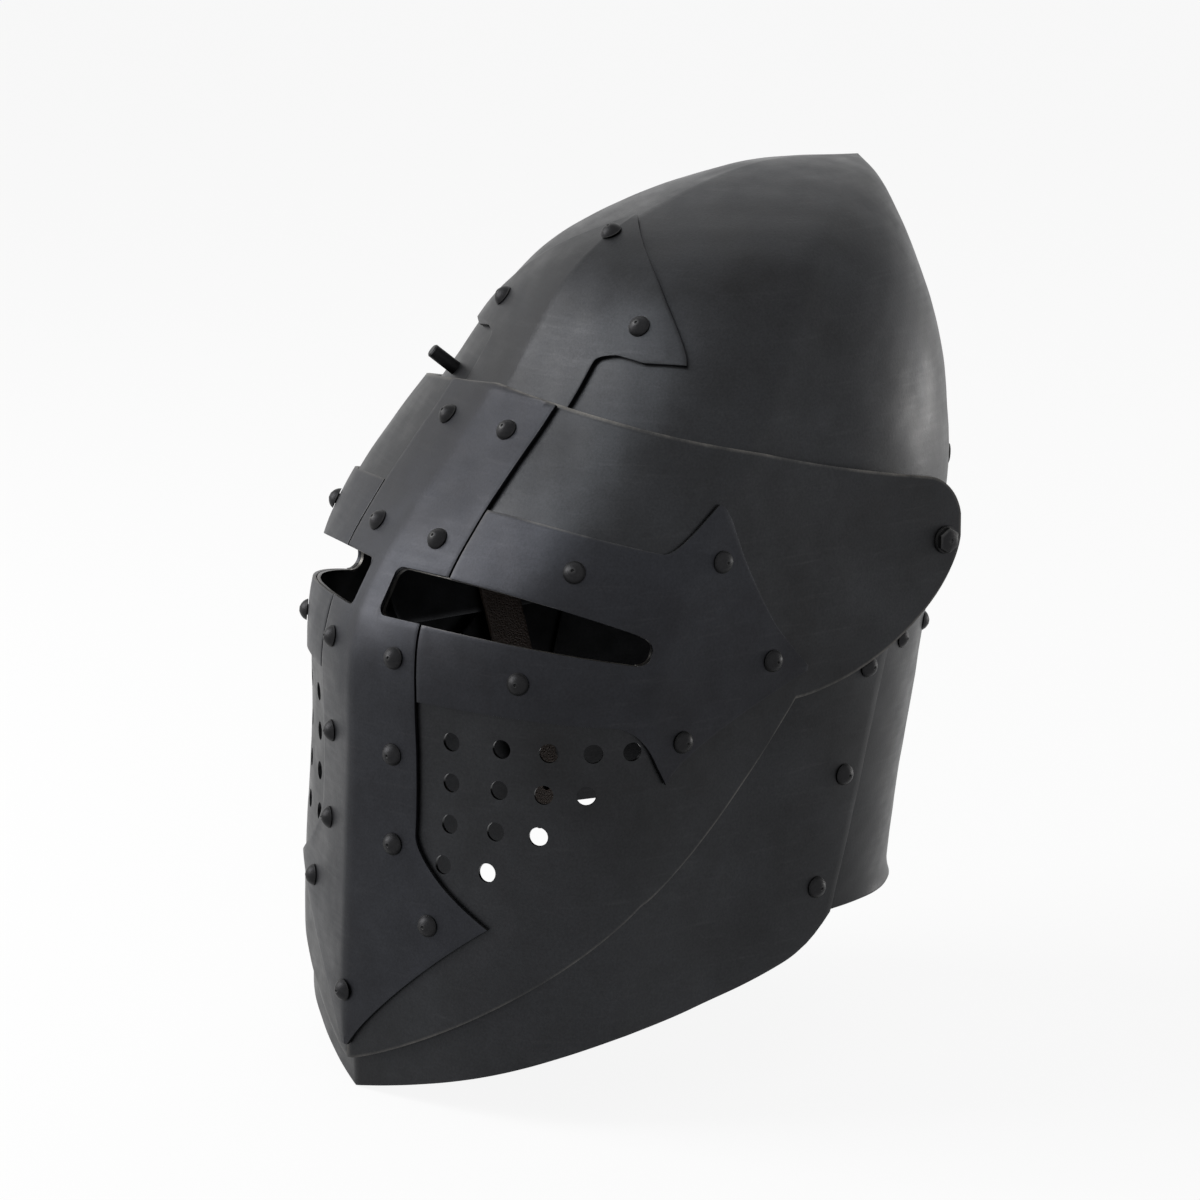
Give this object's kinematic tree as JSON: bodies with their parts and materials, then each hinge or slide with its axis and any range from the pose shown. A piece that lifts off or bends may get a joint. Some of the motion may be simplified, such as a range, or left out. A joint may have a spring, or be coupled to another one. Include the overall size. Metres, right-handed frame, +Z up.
{
  "type": "visored helmet",
  "caption": "Riveted steel bascinet with a hinged visor, eye slots, breath holes, cross plates, a throat plate and a leather lining.",
  "frame": {"origin": "centre of the bounding box at the height of the throat plate's lowest point", "axes": "+Z up the helmet to the crown, -Y the way the face looks, +X to the wearer's left"},
  "size_m": [0.229, 0.3024, 0.3805],
  "materials": {
    "plate_steel": "blackened and rubbed, satin",
    "rivet_steel": "blackened, satin",
    "inner_steel": "forge dark, dull",
    "lining_leather": "vegetable tanned, matt",
    "strap_leather": "oiled, satin",
    "buckle_steel": "bright wire, satin"
  },
  "bodies": {
    "helmet": {"skull": "plate_steel", "brow_plate": "plate_steel", "brow_plate_rivets": "rivet_steel", "back_plate": "plate_steel", "back_plate_rivets": "rivet_steel", "throat_plate": "plate_steel", "throat_plate_rivets": "rivet_steel", "pivot_bolt_left": "rivet_steel", "pivot_bolt_right": "rivet_steel", "pivot_boss_left": "rivet_steel", "pivot_boss_right": "rivet_steel", "pivot_saddle_left": "inner_steel", "pivot_saddle_right": "inner_steel", "pivot_nut_left": "inner_steel", "pivot_nut_right": "inner_steel", "catch_spring": "inner_steel", "catch_spring_rivets": "inner_steel", "lining_band": "lining_leather", "lining_tongues": "lining_leather", "lining_rivets": "inner_steel", "crown_disc": "lining_leather", "crown_rivets": "inner_steel", "chin_strap_left": "strap_leather", "chin_strap_right": "strap_leather", "chin_strap_rivets": "inner_steel"},
    "visor": {"visor_shell": "plate_steel", "cross_bar": "plate_steel", "cross_bar_rivets": "rivet_steel", "cross_arm_left": "plate_steel", "cross_arm_right": "plate_steel", "cross_arm_rivets_left": "rivet_steel", "cross_arm_rivets_right": "rivet_steel"},
    "catch": {"catch_pin": "rivet_steel"},
    "buckle": {"buckle_frame": "buckle_steel"},
    "prong": {"buckle_prong": "buckle_steel"}
  },
  "joints": [
    {"name": "visor_lift", "type": "hinge", "parent": "helmet", "child": "visor", "pos_m": [0, 0.09, 0.228], "axis": [-1, 0, 0], "range_deg": [0, 60]},
    {"name": "catch_press", "type": "slide", "parent": "helmet", "child": "catch", "axis": [0.3186, 0.7054, -0.6331], "range_m": [0, 0.0094], "stiffness_N_per_m": 900, "springref_m": -0.002, "deforming": ["catch_spring"]},
    {"name": "buckle_swing", "type": "hinge", "parent": "helmet", "child": "buckle", "pos_m": [0.09651, 0.01585, 0.12007], "axis": [0.0036, 0.9695, 0.2449], "range_deg": [0, 60]},
    {"name": "prong_swing", "type": "hinge", "parent": "buckle", "child": "prong", "pos_m": [0.09651, 0.01585, 0.12007], "axis": [0.0036, 0.9695, 0.2449], "range_deg": [0, 45]}
  ]
}
